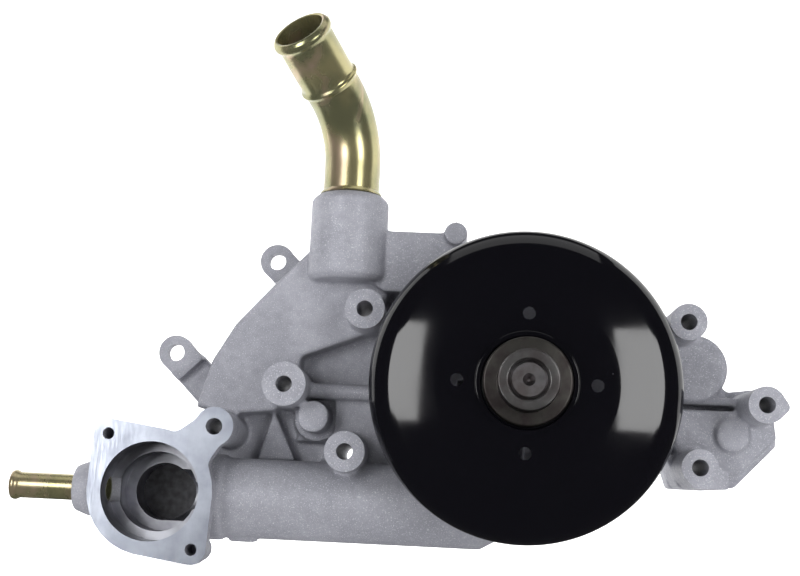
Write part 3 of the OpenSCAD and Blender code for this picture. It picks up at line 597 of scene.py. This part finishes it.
# Points of the pressed shoulder: a low cone that turns down along an elliptic corner.
def shoulderPoints(outer, top):
    shape = pulleyShape
    first = math.radians(shape["cornerStart"])
    width = shape["corner"] / (1 - math.sin(first))
    height = (shape["dome"] - shape["coneDrop"]) / math.cos(first)
    points = [(shape["flat"], top), (shape["flat"] + 3, top - 0.3)]
    for i in range(shape["cornerSteps"] + 1):
        angle = first + (math.pi / 2 - first) * i / shape["cornerSteps"]
        points.append((outer - width * (1 - math.sin(angle)), top - shape["dome"] + height * math.cos(angle)))
    return points


def makePulley():
    shape = pulleyShape
    radius, dome, web, wall = (shape[k] for k in ("radius", "dome", "web", "wall"))
    rimFront = web - dome
    crest = radius - shape["ribInset"]
    floor = crest - shape["ribDepth"]
    inner, outer, raised = shape["ringInner"], shape["ringOuter"], web + shape["ringRise"]
    points = [(shape["bore"], web), (inner, web), (inner + 0.4, raised), (outer - 0.4, raised), (outer, web)]
    points += shoulderPoints(radius, web)
    points.append((radius, rimFront - shape["edge"]))
    for i in range(shape["ribs"]):
        top = rimFront - shape["edge"] - shape["ribPitch"] * i
        points += [(floor, top - 0.35), (floor, top - 0.75), (crest, top - 0.4 * shape["ribPitch"]),
                   (crest, top - 0.6 * shape["ribPitch"]), (floor, top - shape["ribPitch"] + 0.75)]
    back = rimFront - shape["ribs"] * shape["ribPitch"] - 2 * shape["edge"]
    points += [(radius - 0.5, back + shape["edge"]), (radius - 0.5, back), (floor - wall, back)]
    points += reversed(shoulderPoints(floor - wall, web - wall))
    points.append((shape["bore"], web - wall))
    bm = turned(points, rounding=[(0.5, (2, 3))], steps=shape["steps"])
    pulley = newObject("pulleyShell", bm, [glossBlack], 32)
    holes = bmesh.new()
    for i in range(4):
        angle = math.pi / 2 * i
        addPost(holes, (shape["holeCircle"] * math.cos(angle), shape["holeCircle"] * math.sin(angle)),
                shape["holeRadius"], web - wall - 2, web + 2, 48)
    carve(pulley, holes, glossBlack)
    smoothShading(pulley.data, 32)
    attach(pulley, "rotor", "pulley_black", "pulley")
    return pulley


hubShape = {
    "bore": 9.55, "body": 19.95, "shoulder": 23, "nose": 15.7, "mouth": 10.8,      # radii
    "back": 107.4, "web": 112, "shoulderFace": 120, "noseFace": 131,               # heights
}


def makeHub():
    s = hubShape
    points = [(s["bore"], s["back"]), (s["body"], s["back"]), (s["body"], s["web"]),
              (s["shoulder"], s["web"]), (s["shoulder"], s["shoulderFace"]), (s["nose"], s["shoulderFace"]),
              (s["nose"], s["noseFace"]), (s["mouth"], s["noseFace"]), (s["bore"], s["noseFace"] - 1.8)]
    bm = turned(points, rounding=[(1.2, (4,)), (0.8, (6,)), (0.3, (5, 7))], steps=160)
    hub = newObject("hubForging", bm, [steels["hubSteel"], steels["noseSteel"]], 32)
    for face in hub.data.polygons:
        if -face.center.y > (s["shoulderFace"] + 0.3) * mm:
            face.material_index = 1
    attach(hub, "rotor", "hub_steel", "pulley_hub")


makePulley()
makeHub()
print("pulley and hub made")


# Outlet tube and heater nipple

tubeShape = {
    "radius": 16, "wall": 2, "bottom": 84, "socketTop": 108, "steps": 96,
    "bendStart": 125, "bendRadius": 50, "bend": 53, "heading": 33,
    "spigot": 43, "ringAt": 7.5, "bead": 1.5,
}


def makeTube():
    s = tubeShape
    radius, inner = s["radius"], s["radius"] - s["wall"]
    bead = radius + s["bead"]
    straight = s["bendStart"] - s["bottom"]
    arc = s["bendRadius"] * math.radians(s["bend"])
    end = straight + arc + s["spigot"]
    ring = straight + arc + s["ringAt"]
    collar = s["socketTop"] - s["bottom"]
    points = [(inner, 0), (radius, 0), (radius, collar), (bead + 0.2, collar + 0.1), (bead, collar + 1.2),
              (radius, collar + 2.8), (radius, ring - 1.8), (bead, ring - 0.7), (bead, ring + 0.7),
              (radius, ring + 1.8), (radius, end - 6.5), (bead, end - 4.6), (bead, end - 2.4),
              (radius + 0.1, end - 0.6), (radius - 0.7, end), (inner, end - 0.4)]
    # a straight tube along Y, then bent point by point
    soft = [(0.8, (7, 8, 11, 12)), (1.2, (6, 9, 10)), (0.5, (13, 14))]
    bm = turned([(r, -along) for r, along in points], rounding=soft, steps=s["steps"], longest=2)
    heading = math.radians(-90 - s["heading"])
    toward = Vector((math.cos(heading), math.sin(heading), 0))
    across = Vector((-toward.y, toward.x, 0))
    up = Vector((0, 0, 1))
    base = Vector((tubeAt[0], tubeAt[1], s["bendStart"])) * mm
    bendRadius = s["bendRadius"] * mm
    for vertex in bm.verts:
        along, sideways, inward = vertex.co.y / mm, vertex.co.x, vertex.co.z
        turn = min(max(along - straight, 0) / s["bendRadius"], math.radians(s["bend"]))
        rest = along - straight - turn * s["bendRadius"]
        spoke = -math.cos(turn) * toward + math.sin(turn) * up
        forward = math.sin(turn) * toward + math.cos(turn) * up
        vertex.co = (base + bendRadius * toward + (bendRadius - inward) * spoke + sideways * across
                     + rest * mm * forward)
    bmesh.ops.recalc_face_normals(bm, faces=bm.faces)
    tube = newObject("outletTubeBent", bm, [yellowZinc], 40)
    attach(tube, "casting", "yellow_zinc", "outlet_tube")


nippleShape = {"bore": 5.5, "radius": 7, "bead": 8, "lip": 5.6}


def makeNipple():
    length = (nippleHigh.x - nippleLow.x) / mm
    bore, radius, bead, lip = (nippleShape[k] for k in ("bore", "radius", "bead", "lip"))
    points = [(bore, 0), (radius, 0), (radius, length - 4.6), (bead, length - 3.2), (bead, length - 1.2),
              (radius, length), (lip, length)]
    bm = turned(points, rounding=[(0.9, (2, 3, 4, 5)), (0.4, (6,))], steps=80, longest=6)
    bmesh.ops.rotate(bm, verts=bm.verts, cent=(0, 0, 0), matrix=Matrix.Rotation(math.radians(-90), 3, "Z"))
    bmesh.ops.translate(bm, verts=bm.verts, vec=(nippleHigh.x, nippleAt[0] * mm, nippleAt[1] * mm))
    nipple = newObject("heaterNippleTurned", bm, [yellowZinc], 40)
    attach(nipple, "casting", "yellow_zinc", "heater_nipple")


makeTube()
makeNipple()
print("tube and nipple made")


# CAD nodes that keep their shape

nodeFinish = {
    "rear_cover_plate": steels["pressedSteel"], "rear_cover_gasket": softs["gasketSheet"],
    "bearing_front_seal": softs["sealRubber"], "bearing_rear_seal": softs["sealRubber"],
    "seal_bellows": softs["sealRubber"], "seal_seat_cup": softs["sealRubber"],
    "seal_carbon_ring": softs["carbonRing"], "seal_seat_ring": softs["whiteCeramic"],
    "impeller": steels["pressedSteel"],
}
for nodeName, node in frame["nodes"].items():
    if node.hide_render:
        continue
    finish = nodeFinish.get(nodeName)
    if finish is None:
        finish = steels["boltSteel"] if nodeName.startswith("cover_bolt") else steels["groundSteel"]
    for place in range(len(node.data.materials)):
        node.data.materials[place] = finish
    if not node.data.materials:
        node.data.materials.append(finish)
print("finishes given to the CAD nodes")


# Floor, light and camera

studio = {
    "floorColor": (0.90, 0.90, 0.90),
    "floorGlow": 0.85,
    "worldLight": 0.06,
    "reach": 6.0,
    "seam": 0.12,             # where the floor that glossy surfaces don't mirror ends
    "cove": ((0, 0), (2.2, 0), (2.6, 0.06), (2.95, 0.25), (3.2, 0.6), (3.3, 1.0), (3.3, 5.0)),
    "camera": (-0.0342, -0.7868, -0.0597),
    "cameraRight": (0.998, 0.0417, 0.0473),
    "cameraUp": (-0.0403, -0.157, 0.9868),
    "focal": 59.27,
}


def makeStage():
    floorLevel = cadBounds[0][2] - 0.0005
    material, shader = newMaterial("paleFloor", studio["floorColor"], 0.0, 0.8)
    shader.inputs["Emission Color"].default_value = (1, 1, 1, 1)
    shader.inputs["Emission Strength"].default_value = studio["floorGlow"]
    tone = noise(material, 3, 2)
    useFor(material, shader, "Base Color",
           mixColor(material, tone, studio["floorColor"], tuple(0.985 * c for c in studio["floorColor"])))
    reach = studio["reach"]
    bm = bmesh.new()
    corners = ((-reach, -reach), (reach, -reach), (reach, studio["seam"]), (-reach, studio["seam"]))
    bm.faces.new([bm.verts.new((x, y, floorLevel)) for x, y in corners])
    floor = newObject("studioFloor", bm, [material], 60)
    floor.visible_glossy = False
    bm = bmesh.new()
    rise = [bm.verts.new((out, 0, height)) for out, height in studio["cove"]]
    edges = [bm.edges.new(pair) for pair in zip(rise, rise[1:])]
    bmesh.ops.spin(bm, geom=rise + edges, cent=(0, 0, 0), axis=(0, 0, 1), angle=math.pi, steps=48)
    bmesh.ops.remove_doubles(bm, verts=bm.verts, dist=0.001)
    bmesh.ops.translate(bm, verts=bm.verts, vec=(0, studio["seam"], floorLevel))
    bmesh.ops.recalc_face_normals(bm, faces=bm.faces)
    newObject("studioBackdrop", bm, [material], 60)


# place, target, size, power, and whether glossy surfaces show it
lights = {
    "softboxLeft": ((-0.74, -1.22, 0.16), (0, -0.1, 0), (0.46, 0.58), 7.2, True),
    "softboxRight": ((0.76, -1.20, 0.16), (0, -0.1, 0), (0.46, 0.58), 7.2, True),
    "topBank": ((0, -0.3, 1.5), (0, -0.05, 0), (1.6, 1.0), 5, True),
    "fillTop": ((-0.1, -0.1, 1.5), (-0.05, 0, 0), (2.2, 1.6), 15, False),
    "fillFront": ((0, -1.7, 0.1), (0, 0, 0), (2.4, 1.6), 4.2, False),
    "fillLeft": ((-1.6, -0.2, 0.3), (0, 0, 0), (1.4, 1.4), 8, False),
    "fillRight": ((1.6, -0.2, 0.3), (0, 0, 0), (1.4, 1.4), 4.5, False),
}


def addLight(name, place, target, size, power, mirrored):
    light = bpy.data.lights.new(name, "AREA")
    light.shape = "RECTANGLE"
    light.size, light.size_y = size
    light.energy = power
    lamp = bpy.data.objects.new(name, light)
    bpy.context.scene.collection.objects.link(lamp)
    lamp.location = place
    lamp.rotation_euler = (Vector(target) - Vector(place)).to_track_quat("-Z", "Y").to_euler()
    lamp.visible_glossy = mirrored


def makeCamera():
    camera = bpy.data.cameras.new("camera")
    camera.lens = studio["focal"]
    camera.sensor_width = 36
    camera.clip_start = 0.01
    camera.clip_end = 100
    holder = bpy.data.objects.new("camera", camera)
    bpy.context.scene.collection.objects.link(holder)
    right = Vector(studio["cameraRight"])
    up = Vector(studio["cameraUp"])
    back = right.cross(up)
    turn = Matrix((right, up, back)).transposed().to_4x4()
    holder.matrix_world = Matrix.Translation(studio["camera"]) @ turn
    bpy.context.scene.camera = holder


makeStage()
for lightName, values in lights.items():
    addLight(lightName, *values)
makeCamera()
world = bpy.data.worlds.new("studioWorld")
world.use_nodes = True
world.node_tree.nodes["Background"].inputs["Color"].default_value = (1, 1, 1, 1)
world.node_tree.nodes["Background"].inputs["Strength"].default_value = studio["worldLight"]
bpy.context.scene.world = world
bpy.context.scene.view_settings.view_transform = "Standard"
print("stage, lights and camera made")
